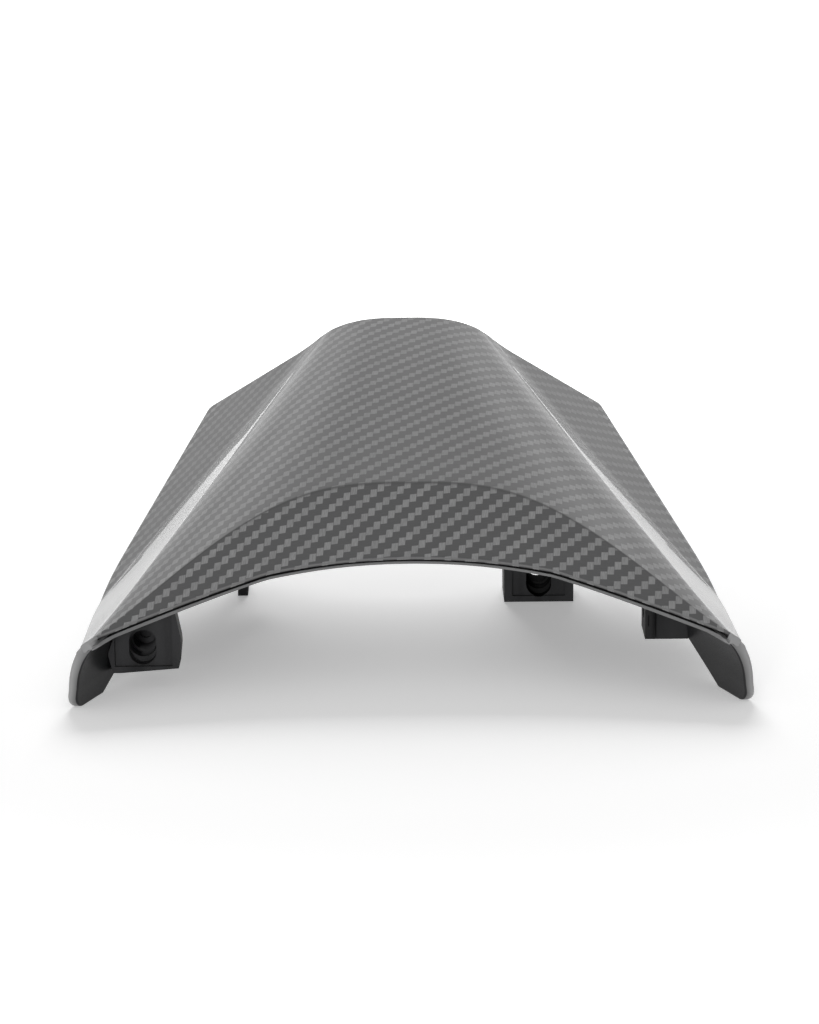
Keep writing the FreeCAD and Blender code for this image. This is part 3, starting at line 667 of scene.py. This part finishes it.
def make_skin(surface, finishes):
    """Outer face, shaped edge and inner face of the skin as one closed mesh."""
    plan = skin_grid(surface)
    rows, cols = plan.shape[:2]
    x, y = plan[..., 0], plan[..., 1]
    outer = np.concatenate([plan, surface.height(x, y)[..., None]], -1)
    inward = -surface.normal(x, y, INNER_SOFTNESS, INNER_REACH)
    inner = outer + surface.wall * inward
    across, along = arc_lengths(surface, x, y)
    weave = np.stack([across, along], -1)

    # The edge loop: front edge from left to right, right rim, tail, left rim
    loop = ([(0, c) for c in range(cols)] + [(r, cols - 1) for r in range(1, rows)]
            + [(rows - 1, c) for c in range(cols - 2, -1, -1)]
            + [(r, 0) for r in range(rows - 2, 0, -1)])
    loop = np.array(loop)
    rim = outer[loop[:, 0], loop[:, 1]]
    down = inward[loop[:, 0], loop[:, 1]]
    rim_uv = weave[loop[:, 0], loop[:, 1]]
    ahead, behind = np.roll(rim, -1, 0) - rim, rim - np.roll(rim, 1, 0)
    for arm in (ahead, behind):
        size = np.linalg.norm(arm, axis=1, keepdims=True)
        arm /= np.maximum(size, 1e-9)
    tangent = ahead + behind
    outward = np.cross(down, tangent)
    outward /= np.maximum(np.linalg.norm(outward, axis=1, keepdims=True), 1e-9)
    if outward[cols // 2, 1] > 0:
        outward = -outward

    # Profile of the edge: distance down from the outer face, distance outward
    r, wall, cut = surface.edge_round, surface.wall, surface.groove
    turns = [math.radians(turn) for turn in EDGE_TURNS]
    rounded = [(r * (1.0 - math.cos(a)), r * math.sin(a)) for a in turns]
    end, roof, sill, nose, chin = (share * wall for share in GROOVE_SHARES)
    plain = rounded + [(end, r), (roof, r), (sill, r), (nose, r), (chin, r),
                       (wall - 0.5 * r, 0.9 * r), (wall - 0.1 * r, 0.5 * r)]
    lipped = rounded + [(end, r), (roof, r - cut), (sill, r - cut), (nose, 0.7 * r),
                        (chin, 0.9 * r), (wall - 0.3 * r, 0.9 * r), (wall, 0.6 * r)]
    groove_start = len(rounded) + 1
    lip_start = groove_start + 3
    side = np.abs(rim[:, 0])
    front = np.zeros(len(loop))
    from_corner = surface.corner_side - side
    front[:cols] = ramp(from_corner[:cols], 2.6, 5.1)
    # The lip comes forward from under the middle of the arch and hangs lower at the corners
    set_back = 0.405 * (1.0 - ramp(side, 22.0, 50.0)) * front
    hang = surface.lip_drop * (0.65 + 0.35 * ramp(side, 60.0, 90.0)) * ramp(from_corner, 0.3, 1.3)
    hang[cols:] = 0.0
    points = [outer.reshape(-1, 3), inner.reshape(-1, 3)]
    uvs = [weave.reshape(-1, 2), weave.reshape(-1, 2)]
    starts = []
    offset = 2 * rows * cols
    for level, (flat_ring, lip_ring) in enumerate(zip(plain, lipped)):
        deep = flat_ring[0] + (lip_ring[0] - flat_ring[0]) * front
        wide = flat_ring[1] + (lip_ring[1] - flat_ring[1]) * front
        if level >= lip_start - 1:
            wide -= set_back
        if level >= lip_start + 1:
            deep += hang
        ring = rim + deep[:, None] * down + wide[:, None] * outward
        points.append(ring)
        uvs.append(rim_uv + (wide + deep)[:, None] * outward[:, :2])
        starts.append(offset)
        offset += len(loop)

    at_corner = np.hypot(from_corner, rim[:, 1]) < CORNER_REACH
    index = np.arange(rows * cols).reshape(rows, cols)
    quads = np.stack([index[:-1, :-1], index[:-1, 1:], index[1:, 1:], index[1:, :-1]], -1)
    quads = quads.reshape(-1, 4)
    ring_ids = [index[loop[:, 0], loop[:, 1]]]
    ring_ids += [start + np.arange(len(loop)) for start in starts]
    ring_ids.append(ring_ids[0] + rows * cols)
    faces = [quads, quads[:, ::-1] + rows * cols]
    slots = [np.full(len(quads), CARBON), np.full(len(quads), INSIDE)]
    for level, (upper, lower) in enumerate(zip(ring_ids[:-1], ring_ids[1:])):
        strip = np.stack([upper, lower, np.roll(lower, -1), np.roll(upper, -1)], -1)
        faces.append(strip)
        if level < groove_start:
            slots.append(np.where(at_corner & (level > 0), EDGE, CARBON))
        else:
            # Painted shade: the groove's faces get the near-black finish
            slots.append(np.where((front > 0.5) & (level < lip_start), GROOVE, EDGE))
    points = np.concatenate(points)
    skin = build_mesh("cover_skin", points, np.concatenate(faces),
                      np.concatenate(slots), np.concatenate(uvs), finishes)
    # How far each point lies below the band's plane and outside the crease
    clear = surface.band(points[:, 1]) - surface.deck(points[:, 0], points[:, 1])
    beside = np.abs(points[:, 0]) - surface.crease_side(points[:, 1])
    # Painted shade: how much the weave is dulled on the flatter top and beyond the crease
    mark_points(skin, "flat_top", ramp(clear, 0.0, 0.25) + 0.5 * ramp(beside, 0.0, 2.0))
    # Painted shade along the band's upper edge, fading out towards the corners
    fade = ramp(surface.corner_side - np.abs(points[:, 0]), 6.0, 26.0)
    mark_points(skin, "band_seam", fade * np.exp(-(clear / 0.2) ** 2))
    # Painted highlight along the turns of the rounded front edge
    painted_highlight = np.zeros(len(points))
    for turn, start in zip(turns, starts):
        painted_highlight[start:start + cols] = front[:cols] * math.sin(2.0 * turn) ** 2
    mark_points(skin, "front_edge", painted_highlight)
    # Painted light: the skin's edges a little darker, the front corners lighter where they catch
    # the light
    painted_side_light = np.full(len(points), 0.4)
    for start in starts:
        painted_side_light[start:start + len(loop)][at_corner] = 1.0
    mark_points(skin, "outer_edge", painted_side_light)
    mark_points(skin, "thin_coat", ramp(beside, 0.0, 0.5) * ramp(points[:, 1], 50.0, 100.0))
    weld(skin)
    return skin


def make_skirt(surface, sizes, side, finishes):
    """One bulged wall under a front corner, on the side given as 1 or -1."""
    mm = {key: getattr(sizes, key) / MM for key in SkirtSizes.__annotations__
          if key != "heel_slope"}
    edge = np.array([0.0, 0.04, 0.12, 0.26, 0.5, 0.75, 1.0]) * mm["edge_round"]
    stations = np.concatenate([edge + mm["set_back"],
                               np.linspace(mm["edge_round"] + mm["set_back"], mm["nose"], 9)[1:-1],
                               np.linspace(mm["nose"], mm["run"] - mm["edge_round"], 42),
                               mm["run"] - edge[-2::-1]])
    levels = np.linspace(0.0, 1.0, 24)[1:]
    share = np.linspace(0.0, 1.0, 400)
    ends = [(mm["side"], mm["bulge"], mm["bulge_height"], mm["reach"]),
            (mm["side"] - mm["toe_in"], mm["rear_bulge"], mm["rear_bulge_height"],
             mm["rear_reach"])]

    def arc(end, thinner):
        at, bow, middle, top = end
        bow_here = bow - thinner
        turn = (math.asin(-middle / bow_here)
                + share * (math.asin((top - middle) / bow_here) - math.asin(-middle / bow_here)))
        return np.stack([at - bow + bow_here * np.cos(turn), middle + bow_here * np.sin(turn)], -1)

    def face(thinner, radius, sign):
        grid = []
        for station in stations:
            part = station / mm["run"]
            curve = (1 - part) * arc(ends[0], thinner) + part * arc(ends[1], thinner)
            lift = np.clip((curve[:, 1] - 7.0) / 16.0, 0.0, 1.3)
            curve[:, 0] += mm["shoulder"] * (1 - part) ** 2 * lift ** 1.15
            roof = surface.height(curve[:, 0], np.full(len(curve), station)) - 0.25 * surface.wall
            over = np.nonzero(curve[:, 1] >= roof)[0]
            top = curve[over[0], 1] if len(over) else curve[-1, 1]
            if station < mm["nose"]:
                low = mm["nose"] - math.sqrt(mm["nose"] ** 2 - (mm["nose"] - station) ** 2)
            else:
                low = max(0.0, (station - mm["foot"]) * math.tan(sizes.heel_slope))
            top = max(top, low + 4.0)
            base = low + edge[-1]
            z = np.concatenate([low + edge, base + (top - base) * levels])
            x = np.interp(z, curve[:, 1], curve[:, 0])
            near = np.clip(radius - edge_distance(station - mm["set_back"], z), 0.0, radius)
            fade = ramp(top - z, 0.0, 3.0)
            x += sign * fade * (radius - np.sqrt(radius ** 2 - near ** 2))
            grid.append(np.stack([side * x, np.full(len(z), station), z], -1))
        return np.array(grid)

    def edge_distance(station, z):
        """How far a place on the wall is from its free edge, seen from the side."""
        rise = (station - mm["foot"]) * math.tan(sizes.heel_slope)
        heel = (z - rise) * math.cos(sizes.heel_slope)
        gap = np.minimum(np.minimum(z, heel), min(station, mm["run"] - station))
        if station < mm["nose"]:
            corner = mm["nose"] - np.hypot(mm["nose"] - station, mm["nose"] - z)
            gap = np.where(z < mm["nose"], corner, gap)
        return np.maximum(gap, 0.0)

    outer = face(0.0, mm["edge_round"], -1)
    inner = face(mm["wall"], 0.4 * mm["edge_round"], 1)
    rows, cols = outer.shape[:2]
    index = np.arange(rows * cols).reshape(rows, cols)
    quads = np.stack([index[:-1, :-1], index[:-1, 1:], index[1:, 1:], index[1:, :-1]], -1)
    quads = quads.reshape(-1, 4)
    loop = np.concatenate([index[0, :], index[1:, -1], index[-1, -2::-1], index[-2:0:-1, 0]])
    back = loop + rows * cols
    strip = np.stack([loop, back, np.roll(back, -1), np.roll(loop, -1)], -1)
    faces = np.concatenate([quads, quads[:, ::-1] + rows * cols, strip])
    points = np.concatenate([outer.reshape(-1, 3), inner.reshape(-1, 3)])
    uv = points[:, 1:] + np.array([0.0, 300.0 + 100.0 * side])
    name = "skirt_right" if side > 0 else "skirt_left"
    rounded = np.zeros((rows - 1, cols - 1), bool)
    rounded[:len(edge) - 1] = rounded[1 - len(edge):] = rounded[:, :len(edge) - 1] = True
    slots = np.concatenate([np.where(rounded, EDGE, CARBON).ravel(),
                            np.full(len(quads), INSIDE), np.full(len(strip), EDGE)])
    skirt = build_mesh(name, points, faces, slots, uv, finishes)
    # Painted light: the outer face lighter, the inner face darker
    mark_points(skirt, "outer_edge", np.repeat([1.0, 0.0], rows * cols))
    weld(skirt)
    return skirt


# Operators


class CoverSkinBuild(bpy.types.Operator):
    """Model the carbon skin with its two skirts, which are one moulding"""

    bl_idname = "cover.skin_build"
    bl_label = "Skin and Skirts"

    def execute(self, context):
        scene = context.scene
        surface = Surface(scene.cover_skin)
        colours = scene.cover_finish
        finishes = (carbon_finish(colours),
                    plastic_finish("grey_edge", colours.edge, gloss=0.30, coat=1.0, painted_lift=0.4),
                    plastic_finish("dark_inside", colours.inside, gloss=0.30),
                    plastic_finish("black_groove", colours.groove, gloss=0.60))
        skin = make_skin(surface, finishes)
        skirts = [make_skirt(surface, scene.cover_skirt, side, finishes) for side in (-1, 1)]
        take_up(skin)
        for skirt in skirts:
            skirt.select_set(True)
        bpy.ops.object.join()
        bpy.ops.object.shade_smooth_by_angle(angle=math.radians(SKIN_SHARP))
        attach(skin, "root")
        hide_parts("cover_shell")
        return {"FINISHED"}


class CoverLegsBuild(bpy.types.Operator):
    """Finish the four legs: rounded edges and black satin plastic"""

    bl_idname = "cover.legs_build"
    bl_label = "Legs"

    def execute(self, context):
        finish = context.scene.cover_finish
        plastic = leg_finish("black_leg", finish.leg, 0.15)
        # Painted shade for the inside of the screw wells
        shaded = leg_finish("black_well", finish.well, 0.0)
        for node in LEGS:
            take_up(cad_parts[node])
            bpy.ops.object.duplicate()
            leg = context.view_layer.objects.active
            leg.name = node.replace("_bracket", "_leg")
            leg.data.name = leg.name
            for key in list(leg.keys()):
                if key.startswith("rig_"):
                    del leg[key]
            leg.parent = None
            bpy.ops.object.mode_set(mode="EDIT")
            bpy.ops.mesh.select_all(action="SELECT")
            bpy.ops.mesh.remove_doubles(threshold=1e-6)
            bpy.ops.mesh.dissolve_limited(angle_limit=math.radians(0.5))
            for point, waste in TRIMS.get(node, ()):
                bpy.ops.mesh.select_all(action="SELECT")
                bpy.ops.mesh.bisect(plane_co=Vector(point) * MM, plane_no=waste,
                                    use_fill=True, clear_outer=True)
            self.round_long_edges(leg, finish.leg_round)
            if node == "front_left_bracket":
                self.close_hole(leg)
            elif node == "front_right_bracket":
                self.add_post(leg)
            for point in leg.data.vertices:
                point.co.z = max(point.co.z, 0.0)
            bpy.ops.object.shade_smooth_by_angle(angle=math.radians(LEG_SHARP))
            flat = leg.modifiers.new("flat_faces", "WEIGHTED_NORMAL")
            flat.keep_sharp = True
            bpy.ops.object.modifier_apply(modifier=flat.name)
            leg.data.materials.clear()
            leg.data.materials.append(plastic)
            for face in leg.data.polygons:
                face.material_index = 0
            if node in WELLS:
                leg.data.materials.append(shaded)
                self.shade_well(leg, *WELLS[node])
            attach(leg, "root")
            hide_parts(node)
        return {"FINISHED"}

    @staticmethod
    def round_long_edges(leg, width):
        """Bevel the long sharp edges; the edges of the holes are short and stay crisp."""
        bpy.context.tool_settings.mesh_select_mode = (False, True, False)
        bpy.ops.mesh.select_all(action="DESELECT")
        bpy.ops.mesh.edges_select_sharp(sharpness=math.radians(LEG_SHARP))
        bpy.ops.object.mode_set(mode="OBJECT")
        points = leg.data.vertices
        for edge in leg.data.edges:
            start, end = (points[i].co for i in edge.vertices)
            edge.select = edge.select and (end - start).length > LONG_EDGE * MM
        bpy.ops.object.mode_set(mode="EDIT")
        bpy.ops.mesh.bevel(offset=width, segments=3, affect="EDGES", clamp_overlap=True)
        bpy.ops.object.mode_set(mode="OBJECT")

    @staticmethod
    def add_post(leg):
        """Round the front of the lug with an upright post that has a slot in it."""
        (side, station), radius, foot, top, slot = POST
        bpy.ops.object.select_all(action="DESELECT")
        bpy.ops.mesh.primitive_cylinder_add(
            vertices=40, radius=radius * MM, depth=(top - foot) * MM,
            location=(side * MM, station * MM, (foot + top) / 2 * MM))
        post = bpy.context.object
        bpy.ops.object.transform_apply(location=True, rotation=True, scale=True)
        bpy.ops.object.mode_set(mode="EDIT")
        for height in slot:
            bpy.ops.mesh.select_all(action="SELECT")
            bpy.ops.mesh.bisect(plane_co=(0.0, 0.0, height * MM), plane_no=(0.0, 0.0, 1.0))
        bpy.ops.object.mode_set(mode="OBJECT")
        low, high = (height * MM for height in slot)
        for face in post.data.polygons:
            inside = low < face.center.z < high
            face.select = inside and face.normal.dot(SLOT_WAY) > 0.985
        bpy.ops.object.mode_set(mode="EDIT")
        bpy.ops.mesh.select_mode(type="FACE")
        bpy.ops.mesh.extrude_region_move(
            TRANSFORM_OT_translate={"value": -0.5 * radius * MM * SLOT_WAY})
        bpy.ops.object.mode_set(mode="OBJECT")
        take_up(leg)
        post.select_set(True)
        bpy.ops.object.join()

    @staticmethod
    def shade_well(leg, side, height, reach):
        """Give the faces inside a screw well the leg's second material, a darker black painted as
        shade.
        """
        near = {point.index for point in leg.data.vertices
                if math.hypot(point.co.x - side * MM, point.co.z - height * MM) < reach * MM}
        for face in leg.data.polygons:
            if near.issuperset(face.vertices):
                face.material_index = 1

    @staticmethod
    def close_hole(leg):
        """Set a thin disc across the far end of the screw hole."""
        place, radius, thick = SCREW_END
        bpy.ops.object.select_all(action="DESELECT")
        bpy.ops.mesh.primitive_cylinder_add(
            vertices=48, radius=radius * MM, depth=thick * MM, location=Vector(place) * MM,
            rotation=(math.pi / 2, 0.0, 0.0))
        disc = bpy.context.object
        bpy.ops.object.transform_apply(location=True, rotation=True, scale=True)
        take_up(leg)
        disc.select_set(True)
        bpy.ops.object.join()


class CoverStageBuild(bpy.types.Operator):
    """Lay the pale floor, light the cover softly and set up the camera"""

    bl_idname = "cover.stage_build"
    bl_label = "Studio"

    def execute(self, context):
        scene = context.scene
        studio = scene.cover_studio
        scene.view_settings.view_transform = "Standard"
        bpy.ops.object.select_all(action="DESELECT")
        bpy.ops.mesh.primitive_plane_add(size=FLOOR_SIZE, location=(0.0, 0.0, 0.0))
        floor = context.object
        floor.name = "floor"
        floor.data.materials.append(self.floor_finish(studio))
        self.surroundings(scene, studio)
        self.lamp("back_lamp", *BACK_LAMP, studio.back_lamp, studio.back_spread)
        self.lamp("front_lamp", *FRONT_LAMP, studio.front_lamp, studio.front_spread)
        self.camera(scene)
        return {"FINISHED"}

    @staticmethod
    def floor_finish(studio):
        """Pale floor that the camera sees whiter away from the cover and gloss sees brighter."""
        graph = Graph.material("pale_floor")
        grain = graph.noise(graph.place(), 900.0, 2.0)
        tone = graph.mix(grain.step(0.2, 0.8), shade(studio.floor, 0.99), shade(studio.floor))
        seen = graph.node("ShaderNodeLightPath", output=0)
        mirrored = graph.node("ShaderNodeLightPath", output=3)
        far = graph.node("ShaderNodeVectorMath", {"operation": "LENGTH"}, {0: graph.place()},
                         output=1)
        whiter = graph.mix(far.step(0.22, 0.60), shade(studio.floor_lift), grey(1.0))
        lift = graph.mix(mirrored, grey(0.0), grey(studio.floor_gloss))
        lift = graph.mix(seen, lift, whiter)
        return graph.close({"Base Color": tone, "Roughness": 0.9, "Specular IOR Level": 0.1,
                            "Emission Color": lift, "Emission Strength": 1.0})

    @staticmethod
    def surroundings(scene, studio):
        """White surroundings: even light, plain white for the camera, shaded walls in gloss."""
        scene.world = scene.world or bpy.data.worlds.new("studio")
        graph = Graph(scene.world)
        aim = graph.node("ShaderNodeTexCoord")
        rise = graph.node("ShaderNodeSeparateXYZ", None, {0: aim}, output=2)
        walls = graph.mix(rise.step(0.05, 0.40), grey(studio.horizon), grey(studio.wall))
        walls = graph.mix(rise.step(0.40, 0.80), walls, grey(studio.ceiling))
        aside = graph.node("ShaderNodeSeparateXYZ", None, {0: aim}, output=0).size()
        lit_side = aside.step(0.05, 0.30) * rise.step(0.28, 0.50)
        walls = graph.mix(lit_side, walls, grey(studio.sides))
        even = graph.node("ShaderNodeBackground", None, {"Strength": studio.ambient,
                                                         "Color": grey(1.0)})
        shaded = graph.node("ShaderNodeBackground", None, {"Color": walls})
        plain = graph.node("ShaderNodeBackground", None, {"Color": grey(1.0)})
        seen = graph.node("ShaderNodeLightPath", output=0)
        mirrored = graph.node("ShaderNodeLightPath", output=3)
        whole = graph.node("ShaderNodeMixShader", None, {0: mirrored, 1: even, 2: shaded})
        whole = graph.node("ShaderNodeMixShader", None, {0: seen, 1: whole, 2: plain})
        graph.node("ShaderNodeOutputWorld", None, {"Surface": whole})

    @staticmethod
    def lamp(name, place, size, power, spread):
        """A square lamp that gloss doesn't mirror."""
        data = bpy.data.lights.new(name, "AREA")
        data.shape = "SQUARE"
        data.size = size
        data.energy = power
        data.spread = spread
        lamp = bpy.data.objects.new(name, data)
        bpy.context.scene.collection.objects.link(lamp)
        lamp.location = place
        lamp.visible_glossy = False
        aim = Vector(LAMP_TARGET) - Vector(place)
        lamp.rotation_euler = aim.to_track_quat("-Z", "Y").to_euler()

    @staticmethod
    def camera(scene):
        """Camera where the photograph was taken from."""
        pitch, yaw, roll = (math.radians(turn) for turn in CAMERA_TURNS)
        forward = Vector((math.sin(yaw) * math.cos(pitch), math.cos(yaw) * math.cos(pitch),
                          -math.sin(pitch)))
        right = Vector((math.cos(yaw), -math.sin(yaw), 0.0))
        up = right.cross(forward)
        rolled_right = math.cos(roll) * right + math.sin(roll) * up
        rolled_up = math.cos(roll) * up - math.sin(roll) * right
        data = bpy.data.cameras.new("photo_camera")
        data.sensor_width = CAMERA_SENSOR
        data.lens = CAMERA_LENS
        data.clip_start, data.clip_end = CAMERA_CLIP
        camera = bpy.data.objects.new("photo_camera", data)
        scene.collection.objects.link(camera)
        axes = Matrix((rolled_right, rolled_up, -forward)).transposed()
        place = Vector(CAMERA_TARGET) - forward * CAMERA_DISTANCE
        camera.matrix_world = Matrix.Translation(place) @ axes.to_4x4()
        scene.camera = camera


class CoverPanel(bpy.types.Panel):
    """Sizes, finishes and build buttons of the cover"""

    bl_idname = "VIEW3D_PT_cover"
    bl_label = "Headlight Cover"
    bl_space_type = "VIEW_3D"
    bl_region_type = "UI"
    bl_category = "Cover"

    def draw(self, context):
        layout = self.layout
        for operator in (CoverSkinBuild, CoverLegsBuild, CoverStageBuild):
            layout.operator(operator.bl_idname)
        for group in ("cover_skin", "cover_skirt", "cover_finish", "cover_studio"):
            values = getattr(context.scene, group)
            box = layout.box()
            for key in type(values).__annotations__:
                box.prop(values, key)


GROUPS = {"cover_skin": SkinSizes, "cover_skirt": SkirtSizes, "cover_finish": FinishColours,
          "cover_studio": StudioValues}
CLASSES = (*GROUPS.values(), CoverSkinBuild, CoverLegsBuild, CoverStageBuild, CoverPanel)


def register():
    for cls in CLASSES:
        bpy.utils.register_class(cls)
    for name, group in GROUPS.items():
        setattr(bpy.types.Scene, name, PointerProperty(type=group))


def unregister():
    for name in GROUPS:
        delattr(bpy.types.Scene, name)
    for cls in reversed(CLASSES):
        bpy.utils.unregister_class(cls)


def main():
    register()
    bpy.ops.cover.skin_build()
    bpy.ops.cover.legs_build()
    bpy.ops.cover.stage_build()


if __name__ == "__main__":
    main()
